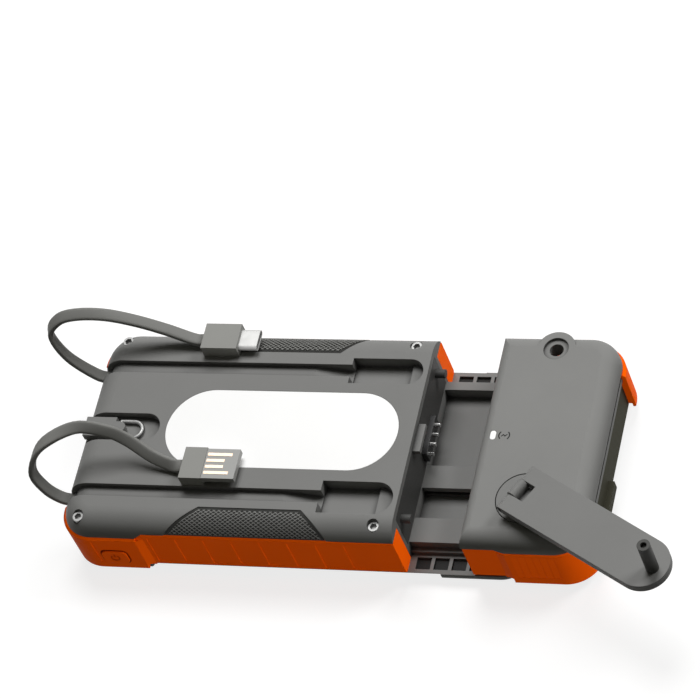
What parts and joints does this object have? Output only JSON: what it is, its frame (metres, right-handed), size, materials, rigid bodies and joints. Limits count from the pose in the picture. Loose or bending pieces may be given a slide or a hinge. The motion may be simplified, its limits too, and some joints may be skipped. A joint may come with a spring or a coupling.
{
  "type": "solar power bank with hand-crank module",
  "caption": "Rugged solar power bank with bumpers, back lamp, built-in charging cables, hanging loop and a slide-off hand-crank generator module.",
  "frame": {"origin": "centre of the docked body's footprint, on the resting plane of the solar side", "axes": "+X from the cable end toward the crank end, +Z from the solar side toward the lamp side"},
  "size_m": [0.2442, 0.1045, 0.0484],
  "materials": {
    "shell_grey": "fine matt moulded plastic",
    "shell_dark": "fine matt moulded plastic",
    "bumper_orange": "satin soft rubber",
    "pad_black": "diamond mesh texture",
    "lens_white": "translucent white",
    "panel_dark": "dark laminate",
    "cell_violet": "silicon with light finger lines",
    "film_clear": "clear film",
    "board_green": "solder mask",
    "black_plastic": "moulded",
    "battery_foil": "foil pouch",
    "steel": "satin",
    "gold": "gold plated",
    "cable_grey": "matt sheath",
    "gear_white": "moulded acetal"
  },
  "bodies": {
    "main": {"front_shell": "shell_grey", "solar_panel": "panel_dark", "solar_cells": "cell_violet", "solar_film": "film_clear", "back_cover": "shell_grey", "lamp_lens": "lens_white", "lamp_board": "lens_white", "lamp_leds": "lens_white", "bumper_near": "bumper_orange", "bumper_far": "bumper_orange", "grip_pad_near": "pad_black", "grip_pad_far": "pad_black", "battery_cells": "battery_foil", "main_board": "board_green", "board_parts": "black_plastic", "dock_plate": "shell_dark", "dock_connector": "black_plastic", "dock_pins": "gold", "guide_pegs": "shell_dark", "cover_screws": "steel", "cable_gland_near": "black_plastic", "cable_gland_far": "black_plastic", "cable_a": "cable_grey", "cable_c": "cable_grey", "plug_a_body": "cable_grey", "plug_a_blade": "shell_grey", "plug_a_contacts": "gold", "plug_c_body": "cable_grey", "plug_c_shell": "steel", "loop_block": "shell_grey", "button_board": "board_green"},
    "crank_module": {"module_shell": "shell_grey", "module_base": "shell_grey", "module_bumper_near": "bumper_orange", "module_bumper_far": "bumper_orange", "end_panel": "shell_dark", "indicator_lens": "lens_white", "dock_receptacle": "black_plastic", "dock_contacts": "gold", "rectifier_board": "board_green", "generator_case": "steel", "crank_bush": "gold", "idler_axle": "steel", "module_screws": "steel"},
    "crank": {"crank_hub": "shell_grey", "crank_shaft": "steel", "drive_gear": "gear_white", "shaft_clip": "steel"},
    "idler": {"idler_gear": "gear_white"},
    "rotor": {"generator_rotor": "steel", "rotor_pinion": "gold"},
    "arm": {"crank_arm": "shell_grey", "hinge_pin": "steel", "handle_axle": "steel"},
    "handle": {"handle_sleeve": "shell_grey"},
    "button": {"power_button": "bumper_orange"},
    "loop": {"hanging_loop": "steel"}
  },
  "joints": [
    {"name": "module_slide", "type": "slide", "parent": "main", "child": "crank_module", "axis": [1, 0, 0], "range_m": [-0.024, 0.03]},
    {"name": "crank_spin", "type": "hinge", "parent": "crank_module", "child": "crank", "pos_m": [0.085, -0.025, 0.0285], "axis": [0, 0, 1], "continuous": true},
    {"name": "idler_spin", "type": "hinge", "parent": "crank_module", "child": "idler", "pos_m": [0.085, -0.0125, 0.022], "axis": [0, 0, 1], "continuous": true},
    {"name": "rotor_spin", "type": "hinge", "parent": "crank_module", "child": "rotor", "pos_m": [0.085, 0.005, 0.016], "axis": [0, 0, 1], "continuous": true},
    {"name": "arm_fold", "type": "hinge", "parent": "crank", "child": "arm", "pos_m": [0.08396, -0.02441, 0.0328], "axis": [-0.4924, -0.8704, 0], "range_deg": [0, 168]},
    {"name": "handle_spin", "type": "hinge", "parent": "arm", "child": "handle", "pos_m": [0.13618, -0.05396, 0.041], "axis": [0, 0, 1], "continuous": true},
    {"name": "button_press", "type": "slide", "parent": "main", "child": "button", "axis": [0, 1, 0], "range_m": [0, 0.0008], "stiffness_N_per_m": 400},
    {"name": "loop_flip", "type": "hinge", "parent": "main", "child": "loop", "pos_m": [-0.0702, -0.0003, 0.02615], "axis": [0, -1, 0], "range_deg": [0, 100]}
  ],
  "couplings": [
    {"joint": "idler_spin", "follows": "crank_spin", "ratio": -4},
    {"joint": "rotor_spin", "follows": "crank_spin", "ratio": 24}
  ]
}
